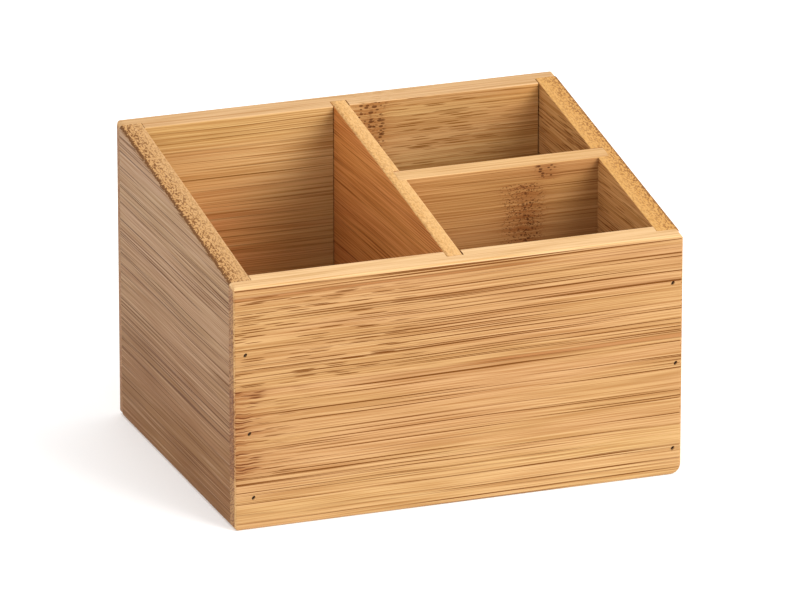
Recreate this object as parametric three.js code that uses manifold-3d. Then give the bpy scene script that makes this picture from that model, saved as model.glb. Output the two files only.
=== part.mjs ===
// Bamboo desk organizer: an open box with a sloped rim and three compartments.
//
// Millimetres, +Z up. The origin is the middle of the footprint, on the table.
// The low front faces -Y, the tall back faces +Y, and the full-depth compartment is on the left (-X).
// The front and back panels run the full width. Their ends are rabbeted for the side panels, the
// dividers stand in dadoes, and the bottom panel lies in grooves. Everything is glued, and nailed
// through the front and back panels into the ends of the side panels.

import * as THREE from "three";
import { mergeVertices } from "three/addons/utils/BufferGeometryUtils.js";
import Module from "manifold-3d";

// Overall size
const WIDTH = 150;
const DEPTH = 115;
const FRONT_HEIGHT = 80;
const BACK_HEIGHT = 100;

// Board thicknesses
const END_THICKNESS = 7.8; // front and back panels
const SIDE_THICKNESS = 7.6;
const CENTER_THICKNESS = 5.2;
const CROSS_THICKNESS = 6.2;
const BOTTOM_THICKNESS = 4;

// Places of the dividers: the centre divider stands slightly askew
const CENTER_X_FRONT = -0.3;
const CENTER_X_BACK = -0.8;
const CROSS_Y = 0.5;

// Joints
const END_JOINT_DEPTH = 3.4; // rabbets and dadoes in the front and back panels
const SIDE_DADO_DEPTH = 4.1; // for the cross divider, in the right side panel
const CENTER_DADO_DEPTH = 2.3; // for the cross divider, in the centre divider
const CENTER_DADO_WIDTH = 6.2; // in the front and back panels, looser than the divider
const GROOVE_DEPTH = 3.4; // for the bottom panel, in all four walls
const GROOVE_HEIGHT = 5; // from the lower edge of the walls to the groove
const GLUE_GAP = 0.1; // glue line between two boards

// Arrises: the outer ones are sanded round, the inner ones are left sharp
const CORNER_RADIUS = 1.6; // along X, seen from the side
const END_RADIUS = 1.2; // round the two outer side faces
const ARC_STEPS = 4;

// Nails: headless brads driven along Y and set below the surface
const NAIL_RADIUS = 0.45;
const NAIL_HEAD_RADIUS = 0.55;
const NAIL_HEAD_LENGTH = 0.8;
const NAIL_POINT_LENGTH = 1.6;
const NAIL_LENGTH = 18;
const NAIL_SINK = 0.8;
const NAIL_HOLE_RADIUS = 0.75;
const NAIL_HOLE_SPARE = 0.4; // hole beyond the nail's point
const NAIL_SIDES = 10;
const FRONT_NAILS_LEFT = [[-71.2, 57.8], [-70, 31.7], [-68.8, 10.4]]; // x, z
const FRONT_NAILS_RIGHT = [[71.4, 64.4], [72.6, 37.5], [71.9, 8.9]]; // x, z
const BACK_NAIL_COUNT = 4; // at each end
const BACK_NAIL_LOWEST = 12;
const BACK_NAIL_PITCH = 24;

// Worked out from the sizes above
const LEFT = -WIDTH / 2;
const RIGHT = WIDTH / 2;
const FRONT = -DEPTH / 2;
const BACK = DEPTH / 2;
const INNER_LEFT = LEFT + SIDE_THICKNESS;
const INNER_RIGHT = RIGHT - SIDE_THICKNESS;
const INNER_FRONT = FRONT + END_THICKNESS;
const INNER_BACK = BACK - END_THICKNESS;
const RABBET_FRONT = INNER_FRONT - END_JOINT_DEPTH;
const RABBET_BACK = INNER_BACK + END_JOINT_DEPTH;
const BOTTOM_TOP = GROOVE_HEIGHT + BOTTOM_THICKNESS;
const CUT_MARGIN = 1; // how far a cutter stands out of the board it cuts

const BAMBOO_FRONT = { color: 0xd9a268, roughness: 0.55, metalness: 0 };
const BAMBOO_SIDE = { color: 0xcb9860, roughness: 0.6, metalness: 0 };
const BAMBOO_DIVIDER = { color: 0xd8ab76, roughness: 0.6, metalness: 0 };
const BAMBOO_BOTTOM = { color: 0xb98650, roughness: 0.65, metalness: 0 };
const NAIL_STEEL = { color: 0x4a433d, roughness: 0.45, metalness: 0.9 };

const wasm = await Module();
wasm.setup();

/** The manifold-3d solid of a closed three.js geometry. */
function toSolid(geometry) {
  const bare = geometry.clone();
  bare.deleteAttribute("normal");
  bare.deleteAttribute("uv");
  const merged = mergeVertices(bare);
  return new wasm.Manifold(new wasm.Mesh({
    numProp: 3,
    vertProperties: new Float32Array(merged.attributes.position.array),
    triVerts: new Uint32Array(merged.index.array),
  }));
}

/** A three.js geometry of a solid, with flat faces. */
function toGeometry(solid) {
  const mesh = solid.getMesh();
  const geometry = new THREE.BufferGeometry();
  geometry.setAttribute("position", new THREE.BufferAttribute(mesh.vertProperties, 3));
  geometry.setIndex(new THREE.BufferAttribute(mesh.triVerts, 1));
  return geometry;
}

/** A box between two corners. */
function block([x0, y0, z0], [x1, y1, z1]) {
  const geometry = new THREE.BoxGeometry(x1 - x0, y1 - y0, z1 - z0);
  geometry.translate((x0 + x1) / 2, (y0 + y1) / 2, (z0 + z1) / 2);
  return toSolid(geometry);
}

/** The outside of the whole organizer: the side outline with round corners, drawn through the width. */
function outsideSolid() {
  const corners = [[FRONT, 0], [BACK, 0], [BACK, BACK_HEIGHT], [FRONT, FRONT_HEIGHT]]
    .map(([y, z]) => new THREE.Vector2(y, z));
  const outline = new THREE.Shape();
  corners.forEach((corner, i) => {
    const before = corners[(i + 3) % 4].clone().sub(corner).normalize();
    const after = corners[(i + 1) % 4].clone().sub(corner).normalize();
    const halfAngle = Math.acos(before.dot(after)) / 2;
    const reach = CORNER_RADIUS / Math.tan(halfAngle);
    const middle = before.clone().add(after).setLength(CORNER_RADIUS / Math.sin(halfAngle)).add(corner);
    const start = before.multiplyScalar(reach).add(corner);
    const end = after.multiplyScalar(reach).add(corner);
    outline.absarc(middle.x, middle.y, CORNER_RADIUS,
      Math.atan2(start.y - middle.y, start.x - middle.x),
      Math.atan2(end.y - middle.y, end.x - middle.x), false);
  });
  const geometry = new THREE.ExtrudeGeometry(outline, {
    depth: WIDTH - 2 * END_RADIUS,
    curveSegments: ARC_STEPS,
    bevelThickness: END_RADIUS,
    bevelSize: END_RADIUS,
    bevelOffset: -END_RADIUS,
    bevelSegments: ARC_STEPS,
  });
  geometry.translate(0, 0, LEFT + END_RADIUS);
  // The outline's x, y and the drawing direction become Y, Z and X
  geometry.applyMatrix4(new THREE.Matrix4().makeBasis(
    new THREE.Vector3(0, 1, 0), new THREE.Vector3(0, 0, 1), new THREE.Vector3(1, 0, 0)));
  return toSolid(geometry);
}

const outside = outsideSolid();
const organizer = new THREE.Group();

/** Adds one named piece, with its own origin at a place in the organizer. */
function addPiece(name, geometry, finish, place) {
  const piece = new THREE.Mesh(geometry, new THREE.MeshStandardMaterial(finish));
  piece.name = name;
  piece.position.set(...place);
  organizer.add(piece);
  return piece;
}

/** Adds a board that was shaped in place. Its own origin is on the given corner. */
function addBoard(name, solid, finish, corner) {
  const geometry = toGeometry(solid).translate(-corner[0], -corner[1], -corner[2]);
  return addPiece(name, geometry, finish, corner);
}

// Nails: one place, name and direction for each
const nails = [];
for (const [side, places] of [["left", FRONT_NAILS_LEFT], ["right", FRONT_NAILS_RIGHT]]) {
  places.forEach(([x, z], i) => {
    nails.push({ name: `front_nail_${side}_${i + 1}`, x, z, wall: "front", side });
  });
}
for (const [side, sign] of [["left", -1], ["right", 1]]) {
  for (let i = 0; i < BACK_NAIL_COUNT; i += 1) {
    const x = sign * (WIDTH - SIDE_THICKNESS) / 2;
    const z = BACK_NAIL_LOWEST + i * BACK_NAIL_PITCH;
    nails.push({ name: `back_nail_${side}_${i + 1}`, x, z, wall: "back", side });
  }
}

/** The hole of one nail, from outside the wall to just beyond the nail's point. */
function nailHole({ x, z, wall }) {
  const length = CUT_MARGIN + NAIL_SINK + NAIL_LENGTH + NAIL_HOLE_SPARE;
  const inward = wall === "front" ? 1 : -1;
  const mouth = wall === "front" ? FRONT : BACK;
  const hole = new THREE.CylinderGeometry(NAIL_HOLE_RADIUS, NAIL_HOLE_RADIUS, length, NAIL_SIDES);
  hole.translate(x, mouth + inward * (length / 2 - CUT_MARGIN), z);
  return toSolid(hole);
}

/** Cuts the holes of all the nails that a test picks. */
function drill(board, picks) {
  return nails.filter(picks).reduce((solid, nail) => solid.subtract(nailHole(nail)), board);
}

/** The upright slot for one end of the centre divider. */
function centerDado(x, y0, y1) {
  const half = CENTER_DADO_WIDTH / 2;
  return block([x - half, y0, -CUT_MARGIN], [x + half, y1, BACK_HEIGHT + CUT_MARGIN]);
}

/** The upright slot for one end of the cross divider. */
function crossDado(x0, x1) {
  const half = CROSS_THICKNESS / 2 + GLUE_GAP;
  return block([x0, CROSS_Y - half, -CUT_MARGIN], [x1, CROSS_Y + half, BACK_HEIGHT + CUT_MARGIN]);
}

/** The groove for the bottom panel: a flat block that reaches into all four walls. */
function bottomGroove() {
  return block(
    [INNER_LEFT - GROOVE_DEPTH, INNER_FRONT - GROOVE_DEPTH, GROOVE_HEIGHT - GLUE_GAP],
    [INNER_RIGHT + GROOVE_DEPTH, INNER_BACK + GROOVE_DEPTH, BOTTOM_TOP + GLUE_GAP],
  );
}

/** Front or back panel: full width, with an end rabbet at each side and a dado for the centre divider. */
function endPanel(wall) {
  const isFront = wall === "front";
  const [y0, y1] = isFront ? [FRONT, INNER_FRONT] : [INNER_BACK, BACK];
  const [cut0, cut1] = isFront ? [RABBET_FRONT, y1 + CUT_MARGIN] : [y0 - CUT_MARGIN, RABBET_BACK];
  const dadoX = isFront ? CENTER_X_FRONT : CENTER_X_BACK;
  const low = -CUT_MARGIN;
  const high = BACK_HEIGHT + CUT_MARGIN;
  const panel = block([LEFT, y0, 0], [RIGHT, y1, BACK_HEIGHT])
    .intersect(outside)
    .subtract(block([LEFT - CUT_MARGIN, cut0, low], [INNER_LEFT, cut1, high]))
    .subtract(block([INNER_RIGHT, cut0, low], [RIGHT + CUT_MARGIN, cut1, high]))
    .subtract(centerDado(dadoX, cut0, cut1))
    .subtract(bottomGroove());
  return drill(panel, (nail) => nail.wall === wall);
}

/** Side panel: stands in the rabbets of the front and back panels. */
function sidePanel(side) {
  const [x0, x1] = side === "left"
    ? [LEFT, INNER_LEFT - GLUE_GAP]
    : [INNER_RIGHT + GLUE_GAP, RIGHT];
  const panel = block([x0, RABBET_FRONT + GLUE_GAP, 0], [x1, RABBET_BACK - GLUE_GAP, BACK_HEIGHT])
    .intersect(outside)
    .subtract(bottomGroove());
  return drill(panel, (nail) => nail.side === side);
}

// Walls
addBoard("front_panel", endPanel("front"), BAMBOO_FRONT, [LEFT, FRONT, 0]);
addBoard("back_panel", endPanel("back"), BAMBOO_FRONT, [LEFT, BACK, 0]);
addBoard("left_side_panel", sidePanel("left"), BAMBOO_SIDE, [LEFT, RABBET_FRONT, 0]);
addBoard(
  "right_side_panel",
  sidePanel("right").subtract(crossDado(INNER_RIGHT - CUT_MARGIN, INNER_RIGHT + SIDE_DADO_DEPTH)),
  BAMBOO_SIDE,
  [RIGHT, RABBET_FRONT, 0],
);

// Centre divider: shaped square to the walls about its own middle, then turned a little into its dadoes
const centerMiddle = (CENTER_X_FRONT + CENTER_X_BACK) / 2;
const centerRun = RABBET_BACK - RABBET_FRONT;
const centerTurn = Math.atan((CENTER_X_FRONT - CENTER_X_BACK) / centerRun);
const centerRight = centerMiddle + CENTER_THICKNESS / 2;
const endClearance = GLUE_GAP + CENTER_THICKNESS * Math.sin(centerTurn);
const centerBoard = block(
  [centerMiddle - CENTER_THICKNESS / 2, RABBET_FRONT + endClearance, BOTTOM_TOP + GLUE_GAP],
  [centerRight, RABBET_BACK - endClearance, BACK_HEIGHT],
)
  .intersect(outside)
  .subtract(crossDado(centerRight - CENTER_DADO_DEPTH, centerRight + CUT_MARGIN));
const centerDivider = addBoard("center_divider", centerBoard, BAMBOO_DIVIDER, [centerMiddle, 0, BOTTOM_TOP]);
centerDivider.rotation.z = centerTurn;

// Cross divider: from the centre divider to the right side panel
const crossLeft = centerRight - CENTER_DADO_DEPTH + GLUE_GAP + CROSS_THICKNESS * Math.sin(centerTurn);
const crossBoard = block(
  [crossLeft, CROSS_Y - CROSS_THICKNESS / 2, BOTTOM_TOP + GLUE_GAP],
  [INNER_RIGHT + SIDE_DADO_DEPTH - GLUE_GAP, CROSS_Y + CROSS_THICKNESS / 2, BACK_HEIGHT],
).intersect(outside);
addBoard("cross_divider", crossBoard, BAMBOO_DIVIDER, [crossLeft, CROSS_Y, BOTTOM_TOP]);

// Bottom panel
const bottomWidth = INNER_RIGHT - INNER_LEFT + 2 * (GROOVE_DEPTH - GLUE_GAP);
const bottomDepth = INNER_BACK - INNER_FRONT + 2 * (GROOVE_DEPTH - GLUE_GAP);
addPiece(
  "bottom_panel",
  new THREE.BoxGeometry(bottomWidth, bottomDepth, BOTTOM_THICKNESS),
  BAMBOO_BOTTOM,
  [0, 0, GROOVE_HEIGHT + BOTTOM_THICKNESS / 2],
);

/** A headless brad along Y, with its flat head at the origin and its point towards +Y. */
function nailGeometry() {
  const outline = [
    [0, 0],
    [NAIL_HEAD_RADIUS, 0],
    [NAIL_HEAD_RADIUS, NAIL_HEAD_LENGTH],
    [NAIL_RADIUS, NAIL_HEAD_LENGTH + NAIL_HEAD_RADIUS - NAIL_RADIUS],
    [NAIL_RADIUS, NAIL_LENGTH - NAIL_POINT_LENGTH],
    [0, NAIL_LENGTH],
  ].map(([radius, along]) => new THREE.Vector2(radius, along));
  return new THREE.LatheGeometry(outline, NAIL_SIDES);
}

for (const { name, x, z, wall } of nails) {
  const headY = wall === "front" ? FRONT + NAIL_SINK : BACK - NAIL_SINK;
  const nail = addPiece(name, nailGeometry(), NAIL_STEEL, [x, headY, z]);
  nail.rotation.z = wall === "front" ? 0 : Math.PI;
}

export default organizer;
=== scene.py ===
"""A desk organizer of laminated bamboo: fine boards, sunk nails, procedural bamboo and a plain studio.

Everything is in metres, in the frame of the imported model: +X right, +Y towards the tall back, +Z up.
Each board is a box lattice whose filled cells give one closed mesh. The lattice has a flat top at
first: the outer arrises are rounded there, and then the points are moved onto the sloped rim.
"""

import math

import bpy
import numpy as np
from mathutils import Matrix, Vector


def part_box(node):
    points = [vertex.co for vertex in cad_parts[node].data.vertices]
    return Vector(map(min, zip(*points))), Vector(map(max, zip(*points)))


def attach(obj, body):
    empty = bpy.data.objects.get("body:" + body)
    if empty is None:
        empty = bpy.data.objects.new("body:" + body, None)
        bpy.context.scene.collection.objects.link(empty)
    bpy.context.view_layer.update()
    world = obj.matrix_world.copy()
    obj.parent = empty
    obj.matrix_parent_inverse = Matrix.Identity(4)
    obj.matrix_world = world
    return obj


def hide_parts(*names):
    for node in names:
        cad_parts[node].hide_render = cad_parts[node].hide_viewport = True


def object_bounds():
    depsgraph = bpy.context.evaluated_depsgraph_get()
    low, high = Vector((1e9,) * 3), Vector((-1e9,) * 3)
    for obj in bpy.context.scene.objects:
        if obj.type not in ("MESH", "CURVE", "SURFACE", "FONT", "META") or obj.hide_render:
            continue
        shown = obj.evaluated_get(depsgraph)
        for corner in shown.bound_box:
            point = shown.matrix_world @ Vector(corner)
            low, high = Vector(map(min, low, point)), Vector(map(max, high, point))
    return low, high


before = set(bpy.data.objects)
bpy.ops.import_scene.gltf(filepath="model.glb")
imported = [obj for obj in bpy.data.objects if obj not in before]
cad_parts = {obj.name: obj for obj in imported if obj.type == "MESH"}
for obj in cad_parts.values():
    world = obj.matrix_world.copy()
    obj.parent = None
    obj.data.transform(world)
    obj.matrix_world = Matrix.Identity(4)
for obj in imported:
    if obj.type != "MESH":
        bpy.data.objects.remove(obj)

cad_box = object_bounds()
MM = 0.001
FAR = 1.0  # further than any part of the organizer


# ---------------------------------------------------------------- Sizes

FRONT_HEIGHT = 80 * MM
BACK_HEIGHT = 100 * MM
RIM_SANDING = 0.12 * MM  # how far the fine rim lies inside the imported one
FINE_RADIUS = 0.8 * MM  # outer arrises, sanded
RIM_RADIUS = 1.2 * MM  # the outer arrises along the front and back rims
WORN_RADIUS = 1.1 * MM  # the upright arrises at the right ends of the front and back panels
RIGHT_CORNER_RADIUS = 1.6 * MM  # the highest arrises there
WORN_FOOT_RADIUS = 4.4 * MM  # the lowest arris along the right, rounded far more
LEFT_RIM_RADIUS = 1.3 * MM  # the outer arris of the left rim
BACK_LEFT_RADIUS = 2.3 * MM  # the arrises round the left end of the back panel
LEFT_FOOT_RADIUS = 1.5 * MM  # the lowest arris along the left, save on the back panel
INNER_RADIUS = 0.35 * MM  # inner arrises, only eased
ARC_STEPS = 3  # from the middle of an arris to each of its two faces
ARC_GUARD = 1.6  # radii from an edge to the last line that its rounded arris asks for
GLUE_GAP = 0.1 * MM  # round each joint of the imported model
JOINT_GAP = 0.03 * MM  # the same in the fine boards
OPEN_CORNER = 0.3 * MM  # the open seam in the right back corner
CENTER_THICKNESS = 5.2 * MM
# Left and right of the thin board, in each end panel's dado
DADO_SLACK = {"front": (0.08 * MM, 0.4 * MM), "back": (0.2 * MM, 0.22 * MM)}
CENTER_BOW = 0.2 * MM  # how far the thin board bends to the right at mid-depth
HOLE_RADIUS = 0.52 * MM
HOLE_STEPS = 4  # across the square of cells taken out for a nail
HOLE_STRETCH = 1.5  # nail holes are torn along a slant
HOLE_SLANT = math.radians(35)
SLOPE_FROM = 12 * MM  # a board's wood is even below this height, and follows the rim above it
END_SLOPE_DEPTH = 12 * MM  # the same for the end panels, down from the rim, clear of their nails
ALONG_PITCH = 4 * MM  # lattice steps along the grain
ACROSS_PITCH = 2 * MM  # and across it
SHARP_FROM = math.radians(50)  # edges sharper than this aren't shaded smooth

OUT_LOW, OUT_HIGH = (np.array(c) for c in cad_box)
OUT_HIGH[2] = BACK_HEIGHT
inner_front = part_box("front_panel")[1].y
inner_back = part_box("back_panel")[0].y
inner_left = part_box("left_side_panel")[1].x
inner_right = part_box("right_side_panel")[0].x
rabbet_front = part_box("left_side_panel")[0].y - GLUE_GAP
rabbet_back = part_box("left_side_panel")[1].y + GLUE_GAP


def rim_height(y):
    """Height of the sloped rim at a depth."""
    share = (y - OUT_LOW[1]) / (OUT_HIGH[1] - OUT_LOW[1])
    return FRONT_HEIGHT + (BACK_HEIGHT - FRONT_HEIGHT) * share - RIM_SANDING


# ---------------------------------------------------------------- Board meshes

def lattice_lines(marks, pitch):
    """Lines through all the marks, with even steps of at most one pitch between them."""
    marks = sorted(set(round(m, 7) for m in marks))
    lines = []
    for a, b in zip(marks[:-1], marks[1:]):
        steps = max(1, math.ceil((b - a) / pitch - 0.01))
        lines += [a + (b - a) * i / steps for i in range(steps)]
    return np.array(lines + [marks[-1]])


def arris_marks(low, high, radius):
    """Marks beside both ends of a span, so that a rounded arris gets even steps."""
    shares = [ARC_GUARD] + [1 - math.tan(math.radians(45 * i / ARC_STEPS)) for i in range(ARC_STEPS + 1)]
    return [low + radius * s for s in shares] + [high - radius * s for s in shares]


def round_edges(points, low, high, radius):
    """Pulls the points near the edges of a box in to round edges. An open side is at infinity."""
    core = np.clip(points, np.asarray(low) + radius, np.asarray(high) - radius)
    out = points - core
    reach = np.linalg.norm(out, axis=1, keepdims=True)
    return core + out * np.minimum(1, radius / np.maximum(reach, radius * 0.01))


def arris(radius, **faces):
    """Rounding of the edge where two faces meet: x0=... is a low face along x, z1=... a high one."""
    low, high = [-math.inf] * 3, [math.inf] * 3
    for face, place in faces.items():
        (low if face[1] == "0" else high)["xyz".index(face[0])] = place
    return low, high, radius


def round_hole(points, x, z):
    """Turns the square of lattice points round a nail's axis into a slanted ellipse."""
    offset = points[:, [0, 2]] - (x, z)
    square = np.abs(offset).max(axis=1)
    circle = np.linalg.norm(offset, axis=1)
    fade = np.clip(2 - square / HOLE_RADIUS, 0, 1)
    scale = 1 + fade * (square / np.maximum(circle, 1e-9) - 1)
    offset *= scale[:, None]
    slant = np.array([math.sin(HOLE_SLANT), math.cos(HOLE_SLANT)])
    offset += slant * ((offset @ slant) * fade * (HOLE_STRETCH - 1))[:, None]
    moved = points.copy()
    moved[:, [0, 2]] = offset + (x, z)
    return moved


def filled_cells(lines, cuts):
    """Which cells of the lattice are wood."""
    middles = np.meshgrid(*[(a[1:] + a[:-1]) / 2 for a in lines], indexing="ij")
    filled = np.ones(middles[0].shape, bool)
    for low, high in cuts:
        inside = [(m > lo) & (m < hi) for m, lo, hi in zip(middles, low, high)]
        filled &= ~(inside[0] & inside[1] & inside[2])
    return filled


def surface_quads(filled):
    """The faces between filled and empty cells, as indices into the lattice's points."""
    shape = [n + 1 for n in filled.shape]
    quads = []
    for axis in range(3):
        margin = [(1, 1) if a == axis else (0, 0) for a in range(3)]
        step = np.diff(np.pad(filled, margin).astype(int), axis=axis)
        one, two = np.eye(3, dtype=int)[[(axis + 1) % 3, (axis + 2) % 3]]
        for sign, turns in ((-1, (0, one, one + two, two)), (1, (0, two, one + two, one))):
            cells = np.argwhere(step == sign)
            corners = [np.ravel_multi_index((cells + turn).T, shape) for turn in turns]
            quads.append(np.stack(corners, axis=1))
    return np.concatenate(quads)


def make_mesh(name, points, quads):
    """A mesh of only the points that the quads use."""
    used, quads = np.unique(quads, return_inverse=True)
    mesh = bpy.data.meshes.new(name)
    mesh.from_pydata(points[used].tolist(), [], quads.reshape(-1, 4).tolist())
    mesh.shade_smooth()
    mesh.set_sharp_from_angle(angle=SHARP_FROM)
    return mesh


def nail_axes():
    """Every nail's x, z and wall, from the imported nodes."""
    axes = []
    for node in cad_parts:
        if "_nail_" in node:
            low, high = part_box(node)
            middle = (low + high) / 2
            axes.append((middle.x, middle.z, node.split("_")[0]))
    return axes


NAILS = nail_axes()


def nail_cuts(wall):
    """The square blocks of cells to take out for the nails through a wall."""
    r = HOLE_RADIUS
    return [((x - r, -FAR, z - r), (x + r, FAR, z + r)) for x, z, w in NAILS if w == wall]


def board(name, low, high, cuts=(), rounds=(), nailed=None, slope_from=SLOPE_FROM):
    """One board as a closed mesh. low and high are its lattice's corners, with the flat top.

    cuts are boxes of removed wood, rounds are boxes with a radius for their edges, and the wood
    above slope_from is stretched or squeezed up to the sloped rim.
    """
    low, high = np.array(low), np.array(high)
    holes = nail_cuts(nailed) if nailed else []
    marks = [[low[a], high[a]] for a in range(3)]
    for round_low, round_high, radius in rounds:
        for a in range(3):
            near = arris_marks(round_low[a], round_high[a], radius)
            marks[a] += [m for m in near if low[a] < m < high[a]]
    for cut_low, cut_high in list(cuts) + holes:
        for a in range(3):
            marks[a] += [m for m in (cut_low[a], cut_high[a]) if low[a] < m < high[a]]
    for cut_low, cut_high in holes:
        for a in (0, 2):
            step = (cut_high[a] - cut_low[a]) / HOLE_STEPS
            marks[a] += [cut_low[a] + step * i for i in range(1, HOLE_STEPS)]
    grain = 1 if high[1] - low[1] > high[0] - low[0] else 0
    lines = [lattice_lines(marks[a], ALONG_PITCH if a == grain else ACROSS_PITCH) for a in range(3)]
    quads = surface_quads(filled_cells(lines, list(cuts) + holes))
    points = np.stack(np.meshgrid(*lines, indexing="ij"), axis=-1).reshape(-1, 3)
    for cut_low, cut_high in holes:
        points = round_hole(points, (cut_low[0] + cut_high[0]) / 2, (cut_low[2] + cut_high[2]) / 2)
    for round_low, round_high, radius in rounds:
        points = round_edges(points, round_low, round_high, radius)
    if slope_from:
        share = np.clip((points[:, 2] - slope_from) / (high[2] - slope_from), 0, 1)
        points[:, 2] += share * (rim_height(points[:, 1]) - high[2])
    piece = bpy.data.objects.new(name, make_mesh(name, points, quads))
    bpy.context.scene.collection.objects.link(piece)
    return piece


left, front, base = OUT_LOW
right, back, _ = OUT_HIGH
groove = tuple(np.array(c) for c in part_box("bottom_panel"))
center_low, center_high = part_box("center_divider")
center_x = (center_low.x + center_high.x) / 2
center_skew = (center_high.x - center_low.x - CENTER_THICKNESS) / (center_high.y - center_low.y)
cross_low, cross_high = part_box("cross_divider")
cross_dado = (
    (cross_low.x - JOINT_GAP, cross_low.y - JOINT_GAP, -FAR),
    (cross_high.x + JOINT_GAP, cross_high.y + JOINT_GAP, FAR),
)


def center_line(y):
    """X of the centre divider's middle plane: a little askew, and a little bowed."""
    run = center_high.y - center_low.y
    return center_x - center_skew * y + CENTER_BOW * np.cos(math.pi * y / run)


def end_panel(wall):
    """Front or back panel, rabbeted at both ends, with a dado for the centre divider."""
    if wall == "front":
        low_y, high_y, inside = front, inner_front, (rabbet_front, FAR)
        outer, inner, top = {"y0": front}, {"y1": inner_front}, rim_height(front)
        seam, left_radius, left_rim, left_foot = 0, FINE_RADIUS, LEFT_RIM_RADIUS, LEFT_FOOT_RADIUS
    else:
        low_y, high_y, inside = inner_back, back, (-FAR, rabbet_back)
        outer, inner, top = {"y1": back}, {"y0": inner_back}, rim_height(back)
        seam, left_radius, left_rim, left_foot = OPEN_CORNER, *[BACK_LEFT_RADIUS] * 3
    dado_x = center_line(inside[0] if wall == "front" else inside[1])
    dado_low = dado_x - CENTER_THICKNESS / 2 - DADO_SLACK[wall][0]
    dado_high = dado_x + CENTER_THICKNESS / 2 + DADO_SLACK[wall][1]
    cuts = [
        ((-FAR, inside[0], -FAR), (inner_left + JOINT_GAP, inside[1], FAR)),
        ((inner_right - JOINT_GAP - seam, inside[0], -FAR), (FAR, inside[1], FAR)),
        ((dado_low, inside[0], -FAR), (dado_high, inside[1], FAR)),
        groove,
    ]
    rounds = [
        arris(left_radius, x0=left, **outer),
        arris(WORN_RADIUS, x1=right, **outer),
        arris(RIM_RADIUS, z1=top, **outer),
        arris(FINE_RADIUS, z0=base, **outer),
        arris(left_rim, x0=left, z1=top),
        arris(RIGHT_CORNER_RADIUS, x1=right, z1=top),
        arris(left_foot, x0=left, z0=base),
        arris(WORN_FOOT_RADIUS, x1=right, z0=base),
        arris(INNER_RADIUS, z1=top, **inner),
    ]
    ends = (left, low_y, base), (right, high_y, top)
    return board(wall + "_panel_bamboo", *ends, cuts, rounds, wall, top - END_SLOPE_DEPTH)


def side_panel(side):
    """Side panel: its ends stand in the rabbets of the end panels."""
    low_y, high_y, top = rabbet_front + JOINT_GAP, rabbet_back - JOINT_GAP, BACK_HEIGHT
    if side == "left":
        low_x, high_x, cuts = left, inner_left, [groove]
        rounds = [
            arris(LEFT_RIM_RADIUS, x0=left, z1=top),
            arris(LEFT_FOOT_RADIUS, x0=left, z0=base),
            arris(INNER_RADIUS, x1=inner_left, z1=top),
        ]
    else:
        low_x, high_x, cuts = inner_right, right, [groove, cross_dado]
        rounds = [
            arris(FINE_RADIUS, x1=right, z1=top),
            arris(WORN_FOOT_RADIUS, x1=right, z0=base),
            arris(INNER_RADIUS, x0=inner_right, z1=top),
        ]
    return board(side + "_side_panel_bamboo", (low_x, low_y, base), (high_x, high_y, top), cuts, rounds)


def center_divider():
    """The thin board from front to back, bent onto its askew and bowed middle plane."""
    half = CENTER_THICKNESS / 2
    low = (center_x - half, center_low.y, center_low.z)
    high = (center_x + half, center_high.y, BACK_HEIGHT)
    rounds = [arris(INNER_RADIUS, x0=low[0], z1=high[2]), arris(INNER_RADIUS, x1=high[0], z1=high[2])]
    piece = board("center_divider_bamboo", low, high, [cross_dado], rounds)
    for vertex in piece.data.vertices:
        vertex.co.x += center_line(vertex.co.y) - center_x
    return piece


def cross_divider():
    """The board from the centre divider to the right side."""
    top = rim_height(cross_high.y)
    rounds = [arris(INNER_RADIUS, y0=cross_low.y, z1=top), arris(INNER_RADIUS, y1=cross_high.y, z1=top)]
    return board("cross_divider_bamboo", tuple(cross_low), (cross_high.x, cross_high.y, top), [], rounds)


def bottom_panel():
    """The thin floor, in the grooves of all four walls."""
    low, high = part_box("bottom_panel")
    rounds = [arris(INNER_RADIUS, z0=low.z, x0=low.x), arris(INNER_RADIUS, z1=high.z, x0=low.x)]
    return board("bottom_panel_bamboo", tuple(low), tuple(high), [], rounds, slope_from=None)


pieces = {
    "front_panel": end_panel("front"),
    "back_panel": end_panel("back"),
    "left_side_panel": side_panel("left"),
    "right_side_panel": side_panel("right"),
    "center_divider": center_divider(),
    "cross_divider": cross_divider(),
    "bottom_panel": bottom_panel(),
}


# ---------------------------------------------------------------- Bamboo

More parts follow.
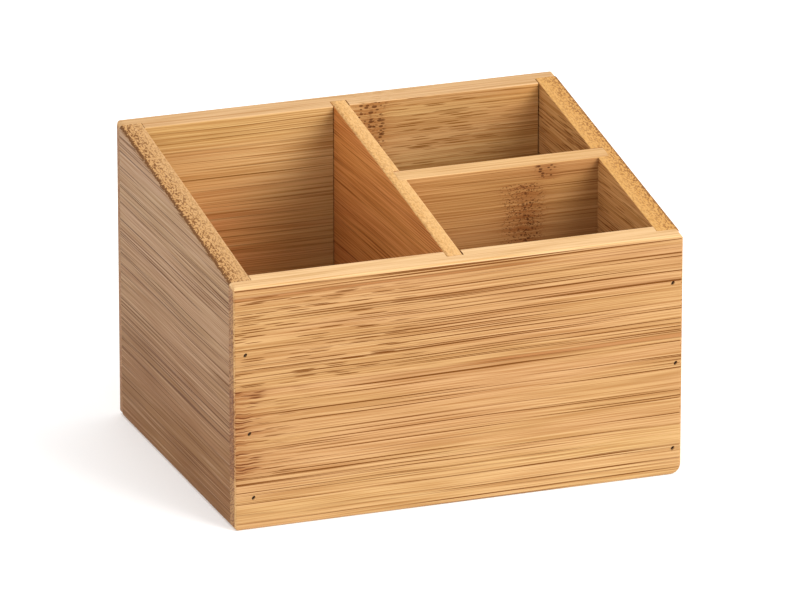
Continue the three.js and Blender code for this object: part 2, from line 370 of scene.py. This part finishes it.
class Graph:
    """A material's node tree, one short call for each node. Sockets and numbers mix freely."""

    def __init__(self, name):
        self.material = bpy.data.materials.new(name)
        self.material.use_nodes = True
        self.tree = self.material.node_tree
        self.shader = self.tree.nodes["Principled BSDF"]

    def add(self, kind, inputs=(), **settings):
        node = self.tree.nodes.new("ShaderNode" + kind)
        for key, value in settings.items():
            setattr(node, key, value)
        for key, value in dict(inputs).items():
            self.put(node.inputs[key], value)
        return node

    def put(self, socket, value):
        if isinstance(value, bpy.types.NodeSocket):
            self.tree.links.new(value, socket)
        else:
            socket.default_value = value

    def math(self, operation, *values, clamp=False):
        inputs = dict(enumerate(values))
        return self.add("Math", inputs, operation=operation, use_clamp=clamp).outputs[0]

    def add_up(self, first, *others):
        for other in others:
            first = self.math("ADD", first, other)
        return first

    def times(self, first, *others):
        for other in others:
            first = self.math("MULTIPLY", first, other)
        return first

    def minus(self, first, second):
        return self.math("SUBTRACT", first, second)

    def clamp(self, value):
        """The value, held between 0 and 1."""
        return self.math("ADD", value, 0.0, clamp=True)

    def clamped_times(self, first, second):
        return self.math("MULTIPLY", first, second, clamp=True)

    def vector(self, x, y, z):
        return self.add("CombineXYZ", {0: x, 1: y, 2: z}).outputs[0]

    def ramp_between(self, value, low, high, smooth=True):
        """0 below low, 1 above high. low may be above high."""
        kind = "SMOOTHSTEP" if smooth else "LINEAR"
        if low <= high:
            inputs = {0: value, 1: low, 2: high, 3: 0.0, 4: 1.0}
        else:
            inputs = {0: value, 1: high, 2: low, 3: 1.0, 4: 0.0}
        return self.add("MapRange", inputs, interpolation_type=kind).outputs[0]

    def noise(self, vector, detail):
        """Soft noise, from 0 to 1 and mostly near 0.5."""
        return self.add("TexNoise", {"Vector": vector, "Scale": 1.0, "Detail": detail}).outputs[0]

    def cells(self, vector):
        """Distance to the nearest of a set of scattered points, and a random number for each of them."""
        return self.add("TexVoronoi", {"Vector": vector, "Scale": 1.0}).outputs[:2]

    def mix(self, amount, first, second, blend="MIX"):
        node = self.add("Mix", data_type="RGBA", blend_type=blend)
        self.put(node.inputs[0], amount)
        for socket, value in ((node.inputs[6], first), (node.inputs[7], second)):
            self.put(socket, value if isinstance(value, bpy.types.NodeSocket) else (*value, 1.0))
        return node.outputs[2]


FAIR = (1.13, 1.20, 1.27)  # the palest wood, against a board's mean colour
DEEP = (0.84, 0.77, 0.66)  # and its darker bands
OLIVE = (0.995, 1.0, 0.97)  # two casts between which the wood drifts
ROSE = (1.01, 0.985, 1.03)
LINE = (0.33, 0.175, 0.012)  # dark fibres
HAIR = (0.60, 0.42, 0.18)  # and fainter ones
RUST = (0.70, 0.45, 0.28)  # reddish bands
PALE = (1.35, 1.50, 1.75)  # pale fibres, and sanded arrises: paler wood, and a painted highlight on them
KNOT = (0.64, 0.46, 0.34)  # shade of a cane's node
THICK = (0.32, 0.16, 0.07)  # its thick fibres, and end grain
PIT = (0.21, 0.11, 0.05)  # and its pits
SLOPED_FAIR = (1.14, 1.24, 1.32)  # the palest wood of a sloped rim, against the rim's colour
SLOPED_DEEP = (0.92, 0.86, 0.66)  # and the darkest
CURL = (0.36, 0.24, 0.09)  # curled fibres on it
TOOTH = (0.30, 0.21, 0.12)  # and torn ones along its outer arris
LEVEL_FAIR = (1.16, 1.22, 1.32)  # the palest wood of a level rim, and the darkest
LEVEL_DEEP = (0.88, 0.82, 0.70)
SHEEN = 0.12  # specular level of the oiled wood
SOFT_ALONG = 12.0  # mm over which the fibres' patterns fade along a board
SOFT_ACROSS = 0.3  # and over which they fade up it


def tint(color, factor):
    """A colour multiplied by another."""
    return tuple(c * f for c, f in zip(color, factor))


def bamboo(name, grain, face, inward, seed, mean, rim, hair=1.0, lines=1.0, dashes=0.0, pale=0.4,
           tilt=0.0, strips=((17, 0.0), (46, 0.0), (77, 0.0)), dash_boxes=(), calm=None, bands=(),
           knots=(), tone_and_shade_patches=(), inner_light_and_shade=(), curls=1.0, wear_and_glint=0.4):
    """Laminated bamboo, in millimetres of the organizer's frame.

    grain is the axis of the fibres, face the outer face's place across them, and inward the
    direction into the board. mean is the wood's colour, and rim the colour of its top edge. hair,
    lines, dashes and pale say how strong those fibres are, and tilt how far they climb along the
    board. strips are the glue lines' heights, each with how much darker the wood above it is.
    dash_boxes (from, to, low, high) are where the short dashes are, and calm is such a box with
    fewer lines. bands (height, from, to, half thickness) are long reddish bands. knots (along,
    low, high, width, strength, speck) are the cane's nodes, each across one strip: speck is the
    size of its pits, or None for thick fibres. tone_and_shade_patches (along, height, reach along,
    reach up, factor) are soft changes of colour: of the wood's tone, and painted shade.
    inner_light_and_shade are the same at the inner face only: painted shade and painted light.
    curls says how dark the curled and torn fibres of a sloped rim are, and wear_and_glint how pale
    the upright and the lowest outer arrises are: paler sanded wood, and a painted highlight.
    """
    g = Graph(name)
    place = g.add("TexCoord").outputs["Object"]
    scaled = g.add("VectorMath", {0: place, "Scale": 1 / MM}, operation="SCALE").outputs[0]
    x, y, z = g.add("SeparateXYZ", {0: scaled}).outputs
    along, across = (x, y) if grain == "X" else (y, x)
    depth = g.times(g.minus(across, face), float(inward))
    normal = g.add("SeparateXYZ", {0: g.add("NewGeometry").outputs["Normal"]}).outputs
    facing = [g.math("ABSOLUTE", part) for part in normal]

    def window(value, low, high, soft):
        """1 between two values, and 0 outside them."""
        rise = g.ramp_between(value, low - soft, low + soft)
        fall = g.ramp_between(value, high + soft, high - soft)
        return g.times(rise, fall)

    def region(start, end, low, high):
        """1 inside a box of the board, 0 outside it."""
        return g.times(window(along, start, end, SOFT_ALONG), window(z, low, high, SOFT_ACROSS))

    def bell(along_from, along_reach, height_from=0.0, height_reach=None):
        """1 at a place, falling off round it."""
        square = g.math("POWER", g.times(g.minus(along, along_from), 1 / along_reach), 2.0)
        if height_reach:
            up = g.math("POWER", g.times(g.minus(z, height_from), 1 / height_reach), 2.0)
            square = g.add_up(square, up)
        return g.math("EXPONENT", g.times(square, -1.0))

    # Glued strips, each from another cane
    strip, strip_tone, seam = 0.0, 0.0, 0.0
    for i, (seam_height, tone) in enumerate(strips):
        above = g.math("GREATER_THAN", z, seam_height)
        strip = g.add_up(g.times(above, 13.7 + i), strip)
        strip_tone = g.add_up(g.times(above, tone - (strips[i - 1][1] if i else 0)), strip_tone)
        to_seam = g.math("ABSOLUTE", g.minus(z, seam_height))
        seam = g.add_up(g.ramp_between(to_seam, 0.28, 0.08), seam)
    shift = g.add_up(strip, seed * 7.3)

    # The fibres wander a little in height, and swirl round the cane's nodes
    wander = g.noise(g.vector(g.times(along, 1 / 60), g.times(z, 1 / 40), float(seed)), 1.0)
    height = g.add_up(z, g.minus(wander, 0.5), g.times(along, -tilt))
    knot, pits, thick = 0.0, 0.0, 0.0
    for at, low, high, width, strength, speck in knots:
        wobble = g.noise(g.vector(g.times(z, 1 / 6), float(seed) + at, 0.0), 2.0)
        middle = g.add_up(g.times(wobble, width * 1.2), at - width * 0.6)
        one = g.times(bell(middle, width), window(z, low, high, 0.2), strength)
        knot = g.add_up(one, knot)
        if speck:
            spot = g.vector(g.times(along, 0.5 / speck), g.times(z, 1 / speck), g.times(depth, 0.6))
            away, size = g.cells(spot)
            fleck = g.ramp_between(g.add_up(away, g.times(size, -0.5)), 0.12, 0.0)
            pits = g.add_up(g.times(fleck, g.ramp_between(one, 0.25, 0.55)), pits)
        else:
            thick = g.add_up(g.ramp_between(one, 0.2, 0.5), thick)
    if knots:
        swirl = g.noise(g.vector(g.times(along, 1 / 5), g.times(z, 1 / 5), depth), 1.0)
        height = g.add_up(height, g.times(g.minus(swirl, 0.5), knot, 1.8))

    def stretched(length, width, offset):
        """Coordinates long along the fibres and narrow across them."""
        return g.vector(
            g.add_up(g.times(along, 1 / length), shift, offset),
            g.times(height, 1 / width),
            g.add_up(g.times(depth, 1 / width), offset),
        )

    def grainy(length, width, offset):
        """Soft streaks, from about -0.5 to 0.5."""
        return g.minus(g.noise(stretched(length, width, offset), 1.0), 0.5)

    def fibres(color, dark, strength, length, pitch, radius, rare, offset):
        """Lays dark fibres on a colour: long thin bodies scattered in the wood, cut by its faces."""
        away, pick = g.cells(stretched(length, pitch, offset))
        core = g.ramp_between(away, radius, radius * 0.7)
        mask = g.times(core, g.ramp_between(pick, rare, rare + 0.25))
        return g.mix(g.clamped_times(mask, strength), color, tint(mean, dark)), mask

    fuzz = grainy(length=35.0, width=0.40, offset=7.1)
    ribbons = grainy(length=130.0, width=1.3, offset=17.1)
    broad = grainy(length=150.0, width=8.0, offset=27.1)
    cast = grainy(length=90.0, width=9.0, offset=37.1)
    slice_place = g.add_up(g.times(depth, 0.1), float(seed))
    patch = g.noise(g.vector(g.times(along, 1 / 45), g.times(z, 1 / 12), slice_place), 1.0)

    # How strong the lines and the dashes are from place to place
    line_strength = g.times(g.add_up(g.ramp_between(patch, 0.2, 0.7), 0.5), lines)
    dash_strength = g.times(g.add_up(g.times(g.ramp_between(patch, 0.3, 0.6), 0.3), 0.8), dashes)
    if dash_boxes:
        there = 0.0
        for box in dash_boxes:
            there = g.add_up(region(*box), there)
        dash_strength = g.times(dash_strength, there)
        line_strength = g.times(line_strength, g.minus(1.0, g.times(there, 0.6)))
    if calm:
        line_strength = g.times(line_strength, g.minus(1.0, g.times(region(*calm), 0.5)))
    on_end = facing[0 if grain == "X" else 1]
    line_strength = g.times(line_strength, g.ramp_between(on_end, 0.7, 0.3))

    # The wood's tone, its casts, and the soft changes of colour, some of them painted shade and painted
    # light
    tone = g.add_up(g.times(ribbons, 0.5), g.times(fuzz, 4.0), g.times(broad, 0.5), strip_tone, 0.42)
    color = g.mix(g.clamp(tone), tint(mean, FAIR), tint(mean, DEEP))
    color = g.mix(1.0, color, g.mix(g.ramp_between(cast, -0.15, 0.15), OLIVE, ROSE), "MULTIPLY")
    # At the inner face the soft changes of colour are painted shade and painted light inside the
    # compartments
    inside = g.ramp_between(depth, 4.5, 7.0) if inner_light_and_shade else 0.0
    for spots, amount in ((tone_and_shade_patches, 1.0), (inner_light_and_shade, inside)):
        for at, up, along_reach, up_reach, factor in spots:
            share = g.times(bell(at, along_reach, up, up_reach), amount)
            color = g.mix(share, color, g.mix(1.0, color, factor, "MULTIPLY"))

    # Pale hairs, reddish bands with dark borders, dark hairs, long lines and dashes
    pale_hair = g.ramp_between(grainy(length=70.0, width=0.7, offset=47.3), 0.08, 0.2)
    color = g.mix(g.times(pale_hair, pale), color, tint(mean, PALE))
    for at, start, end, half in bands:
        off = g.math("ABSOLUTE", g.minus(g.add_up(height, g.times(ribbons, 1.2)), at))
        there = window(along, start, end, SOFT_ALONG)
        core = g.ramp_between(off, half, half * 0.7)
        color = g.mix(g.times(core, there, 0.6), color, tint(mean, RUST))
        border = g.ramp_between(g.math("ABSOLUTE", g.minus(off, half)), 0.25, 0.08)
        color = g.mix(g.times(border, there, 0.45), color, tint(mean, LINE))
    dark_hair = g.ramp_between(grainy(length=90.0, width=0.6, offset=61.9), 0.06, 0.2)
    color = g.mix(g.times(dark_hair, 0.4 * hair), color, tint(mean, HAIR))
    color, line_mask = fibres(
        color, LINE, line_strength, length=140.0, pitch=0.58, radius=0.35, rare=0.24, offset=31.4,
    )
    accent = g.times(line_strength, 1.3)
    color, accent_mask = fibres(
        color, LINE, accent, length=240.0, pitch=0.85, radius=0.31, rare=0.42, offset=3.3,
    )
    if dashes:
        for offset in (57.7, 83.9):
            color, _ = fibres(
                color, LINE, dash_strength, length=16.0, pitch=0.66, radius=0.31, rare=0.25, offset=offset,
            )
    color = g.mix(g.times(seam, 0.25), color, tint(mean, LINE))
    if knots:
        shade = g.clamped_times(knot, g.add_up(0.6, g.times(fuzz, 2.0)))
        color = g.mix(shade, color, tint(mean, KNOT))
        color, _ = fibres(
            color, THICK, thick, length=13.0, pitch=0.66, radius=0.42, rare=-0.1, offset=71.3,
        )
        color = g.mix(g.clamped_times(pits, 0.88), color, tint(mean, PIT))

    # End grain
    end_grain = g.ramp_between(on_end, 0.95, 0.99)
    slant = g.times(g.add_up(z, g.times(depth, 0.5)), 1 / 0.6)
    ends = g.noise(g.vector(slant, g.times(depth, 1 / 2.5), float(seed)), 1.0)
    ends = g.ramp_between(ends, 0.45, 0.62)
    color = g.mix(g.times(end_grain, g.add_up(0.3, g.times(ends, 0.5))), color, tint(mean, THICK))

    # The rim
    if grain == "Y":
        # The sloped rim cuts the fibres at a low angle, and shows them as curls, most of them outside
        ragged = g.minus(g.noise(g.vector(g.times(along, 1 / 1.1), 0.0, float(seed)), 1.0), 0.5)
        on_rim = g.ramp_between(g.add_up(normal[2], g.times(ragged, 1.3)), 0.55, 0.63)
        curl = g.noise(g.vector(g.times(along, 1 / 1.9), g.times(depth, 1 / 0.95), float(seed)), 1.0)
        curl = g.ramp_between(g.math("ABSOLUTE", g.minus(curl, 0.5)), 0.085, 0.03)
        broken = g.noise(g.vector(g.times(along, 1 / 1.5), depth, seed + 5.0), 1.0)
        crowd = g.ramp_between(depth, 7.6, 0.0, smooth=False)
        rim_tone = g.clamp(g.add_up(fuzz, g.times(crowd, 0.5), g.times(broken, 0.3)))
        rim_wood = g.mix(rim_tone, tint(rim, SLOPED_FAIR), tint(rim, SLOPED_DEEP))
        kept = g.ramp_between(broken, 0.36, 0.5)
        marks = g.times(curl, kept, g.add_up(0.25, g.times(crowd, 1.1)), curls)
        rim_wood = g.mix(g.clamped_times(marks, 0.85), rim_wood, tint(rim, CURL))
        teeth = g.ramp_between(g.add_up(depth, g.times(ragged, 2.6)), 1.0, 0.8)
        rim_wood = g.mix(g.times(teeth, curls, 0.75), rim_wood, tint(rim, TOOTH))
    else:
        on_rim = g.ramp_between(normal[2], 0.35, 0.65)
        rim_tone = g.clamp(g.times(tone, 0.9))
        rim_wood = g.mix(rim_tone, tint(rim, LEVEL_FAIR), tint(rim, LEVEL_DEEP))
        rim_wood = g.mix(g.times(line_mask, 0.3), rim_wood, tint(rim, RUST))
    color = g.mix(on_rim, color, rim_wood)

    # The sanded arrises, pale on the inside and rubbed on the outside, save round the right end: paler
    # sanded wood, and a painted highlight along each
    squarest = g.math("MAXIMUM", g.math("MAXIMUM", facing[0], facing[1]), facing[2])
    off_right_end = g.ramp_between(x, mm(right) - 2.6, mm(right) - 3.4)
    outside = g.times(g.ramp_between(normal[2], 0.3, 0.1), wear_and_glint)
    sanded_and_highlit = g.math("MAXIMUM", g.times(g.ramp_between(depth, 3.0, 4.0), 0.5), outside)
    arrises = g.times(g.ramp_between(squarest, 0.88, 0.77), off_right_end, sanded_and_highlit)
    color = g.mix(arrises, color, tint(rim, PALE))
    g.put(g.shader.inputs["Base Color"], color)

    # Surface
    relief = g.add_up(g.times(line_mask, -0.4), g.times(accent_mask, -0.4), g.times(fuzz, 1.2))
    bump = g.add("Bump", {"Height": relief, "Strength": 0.4, "Distance": 0.07 * MM})
    g.put(g.shader.inputs["Normal"], bump.outputs[0])
    g.put(g.shader.inputs["Roughness"], g.add_up(0.5, g.times(fuzz, 0.3), g.times(line_mask, 0.06)))
    g.shader.inputs["Specular IOR Level"].default_value = SHEEN
    return g.material


def mm(value):
    """A length in millimetres."""
    return value / MM


WOOD = (0.377, 0.204, 0.080)  # the front's outer face
EVERYWHERE = 1000.0  # a patch's reach beyond any board
materials = {
    "front_panel": bamboo(
        "bamboo_front", "X", mm(front), inward=1, seed=3,
        mean=WOOD, rim=(0.54, 0.33, 0.15), lines=1.3, dashes=1.0, tilt=0.01, wear_and_glint=0.15,
        strips=((17, 0.1), (46, 0.12), (77, 0.0)),
        dash_boxes=[(-90.0, -16.0, 46.5, 76.5), (-90.0, -56.0, 17.0, 46.0)],
        calm=(-90.0, 90.0, -1.0, 17.0),
        bands=[(46.0, 2.0, 90.0, 0.8), (76.8, -90.0, 25.0, 0.4)],
        knots=[(-76.0, 17.0, 46.0, 9.0, 1.0, None)],
        tone_and_shade_patches=[(30.0, 8.0, 90.0, 12.0, (1.12, 1.22, 1.25))],
    ),
    "back_panel": bamboo(
        "bamboo_back", "X", mm(back), inward=-1, seed=11,
        mean=(0.50, 0.295, 0.109), rim=(0.465, 0.271, 0.12), hair=0.9, lines=0.42, dashes=0.8,
        pale=0.3, wear_and_glint=0.1,
        strips=((10, 0.1), (40, 0.0), (70, 0.05)),
        dash_boxes=[(14.0, 58.0, 0.0, 120.0)],
        knots=[(9.0, 70.0, 110.0, 6.0, 0.8, 0.95), (11.0, 70.0, 110.0, 7.0, 0.4, 0.6)],
        tone_and_shade_patches=[(-75.0, 46.0, 3.0, EVERYWHERE, (0.62, 0.60, 0.78))],
        inner_light_and_shade=[
            # painted shade: the lower back wall of the left compartment darker and redder
            (-56.0, 46.0, 44.0, 33.0, (1.10, 0.68, 0.54)),
            # painted light: a lighter patch high on that wall
            (-18.0, 83.0, 16.0, 7.0, (1.14, 1.18, 1.2)),
            # painted shade: the back wall of the rear compartment darker
            (42.0, 90.0, 40.0, EVERYWHERE, (0.82, 0.73, 0.70)),
            # painted light: lighter near the right back corner, against its shade
            (67.0, 80.0, 14.0, EVERYWHERE, (1.14, 1.07, 1.0)),
        ],
    ),
    "left_side_panel": bamboo(
        "bamboo_left", "Y", mm(left), inward=1, seed=23,
        mean=(0.30, 0.172, 0.083), rim=(0.455, 0.243, 0.095), hair=1.3, lines=1.5, pale=0.5, curls=1.3,
        strips=((20, 0.0), (50, 0.0), (80, 0.0)),
        # painted shade: the left face darker towards the floor
        tone_and_shade_patches=[(0.0, 5.0, EVERYWHERE, 42.0, (0.63, 0.46, 0.24))],
    ),
    "right_side_panel": bamboo(
        "bamboo_right", "Y", mm(right), inward=-1, seed=31,
        mean=(0.46, 0.225, 0.075), rim=(0.50, 0.248, 0.070), hair=0.9, lines=0.4, dashes=0.8, curls=0.85,
    ),
    "center_divider": bamboo(
        "bamboo_center", "Y", mm(center_x - CENTER_THICKNESS / 2), inward=1, seed=47,
        mean=(0.58, 0.226, 0.062), rim=(0.575, 0.318, 0.122), hair=0.5, lines=0.4, pale=0.15, curls=0.35,
    ),
    "cross_divider": bamboo(
        "bamboo_cross", "X", mm(cross_low.y), inward=1, seed=59,
        mean=(0.36, 0.168, 0.053), rim=(0.51, 0.297, 0.122), hair=0.7, lines=0.35, pale=0.8,
        strips=((26, 0.0), (58, 0.0)),
        knots=[
            (42.0, 58.0, 83.5, 9.0, 0.7, 0.36),
            (43.5, 58.0, 83.5, 5.0, 0.5, 0.7),
            (50.0, 84.0, 95.0, 4.0, 0.8, 0.8),
        ],
    ),
    "bottom_panel": bamboo(
        "bamboo_bottom", "X", 0.0, inward=1, seed=71,
        # Its colour is lighter than the walls' wood: painted light on the shaded floor of the compartments
        mean=(0.56, 0.33, 0.14), rim=WOOD, hair=0.7,
    ),
}

for node, piece in pieces.items():
    piece.data.materials.append(materials[node])
    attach(piece, "root")
    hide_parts(node)


NAIL_DARK = (0.014, 0.006, 0.004)
NAIL_BROWN = (0.06, 0.026, 0.016)


def nail_metal():
    """Dull steel, darkened in the wood."""
    g = Graph("nail_steel_dark")
    place = g.add("TexCoord").outputs["Object"]
    spots = g.noise(g.add("VectorMath", {0: place, "Scale": 4000.0}, operation="SCALE").outputs[0], 3.0)
    g.put(g.shader.inputs["Base Color"], g.mix(spots, NAIL_DARK, NAIL_BROWN))
    g.shader.inputs["Metallic"].default_value = 0.6
    g.put(g.shader.inputs["Roughness"], g.add_up(0.35, g.times(spots, 0.3)))
    return g.material


metal = nail_metal()
for node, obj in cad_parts.items():
    if "_nail_" in node:
        for slot in obj.material_slots:
            slot.material = metal


# ---------------------------------------------------------------- Studio

CAMERA_AZIMUTH = math.radians(-20.23)
CAMERA_ELEVATION = math.radians(19.36)
CAMERA_DISTANCE = 2.6962
CAMERA_LENS = 378.4
AIM_RIGHT = 0.96 * MM
AIM_UP = 45.71 * MM
LIGHT_AIM = Vector((0, 0, 0.05))
FLOOR_HALF = 20.0
FLOOR_DROP = 0.1 * MM  # keeps the floor's plane clear of the boards' lower edges
FLOOR_WHITE = (0.93, 0.93, 0.93, 1)
FLOOR_GLOW = 0.14
SKY_STRENGTH = 1.05


def make_camera():
    """Camera in front, to the left and above, turned only by its azimuth and elevation."""
    back_axis = Vector((
        math.sin(CAMERA_AZIMUTH) * math.cos(CAMERA_ELEVATION),
        -math.cos(CAMERA_AZIMUTH) * math.cos(CAMERA_ELEVATION),
        math.sin(CAMERA_ELEVATION),
    ))
    right_axis = Vector((math.cos(CAMERA_AZIMUTH), math.sin(CAMERA_AZIMUTH), 0))
    up_axis = back_axis.cross(right_axis)
    camera = bpy.data.objects.new("camera", bpy.data.cameras.new("camera"))
    camera.data.lens = CAMERA_LENS
    camera.data.clip_end = 50
    camera.matrix_world = Matrix((right_axis, up_axis, back_axis)).transposed().to_4x4()
    camera.location = back_axis * CAMERA_DISTANCE + right_axis * AIM_RIGHT + up_axis * AIM_UP
    bpy.context.scene.collection.objects.link(camera)
    bpy.context.scene.camera = camera


def area_light(name, place, size, power):
    """A soft white square light that faces the organizer."""
    data = bpy.data.lights.new(name, "AREA")
    data.size = size
    data.energy = power
    light = bpy.data.objects.new(name, data)
    light.location = place
    light.rotation_mode = "QUATERNION"
    light.rotation_quaternion = (LIGHT_AIM - light.location).to_track_quat("-Z", "Y")
    bpy.context.scene.collection.objects.link(light)


def make_floor():
    """A plain pale floor."""
    mesh = bpy.data.meshes.new("floor")
    s = FLOOR_HALF
    mesh.from_pydata([(-s, -s, 0), (s, -s, 0), (s, s, 0), (-s, s, 0)], [], [(0, 1, 2, 3)])
    floor = bpy.data.objects.new("floor", mesh)
    floor.location.z = -FLOOR_DROP
    bpy.context.scene.collection.objects.link(floor)
    g = Graph("floor_white")
    g.shader.inputs["Base Color"].default_value = FLOOR_WHITE
    g.shader.inputs["Roughness"].default_value = 0.9
    g.shader.inputs["Specular IOR Level"].default_value = 0.0
    g.shader.inputs["Emission Color"].default_value = (1, 1, 1, 1)
    g.shader.inputs["Emission Strength"].default_value = FLOOR_GLOW
    mesh.materials.append(g.material)


make_camera()
make_floor()
area_light("key", place=(1.35, -1.85, 1.1), size=1.6, power=68)
area_light("fill", place=(-2.4, -0.6, 0.9), size=1.4, power=13)
world = bpy.data.worlds.new("studio")
world.use_nodes = True
sky = world.node_tree.nodes["Background"]
sky.inputs["Color"].default_value = (1, 1, 1, 1)
sky.inputs["Strength"].default_value = SKY_STRENGTH
bpy.context.scene.world = world
bpy.context.scene.view_settings.view_transform = "Standard"
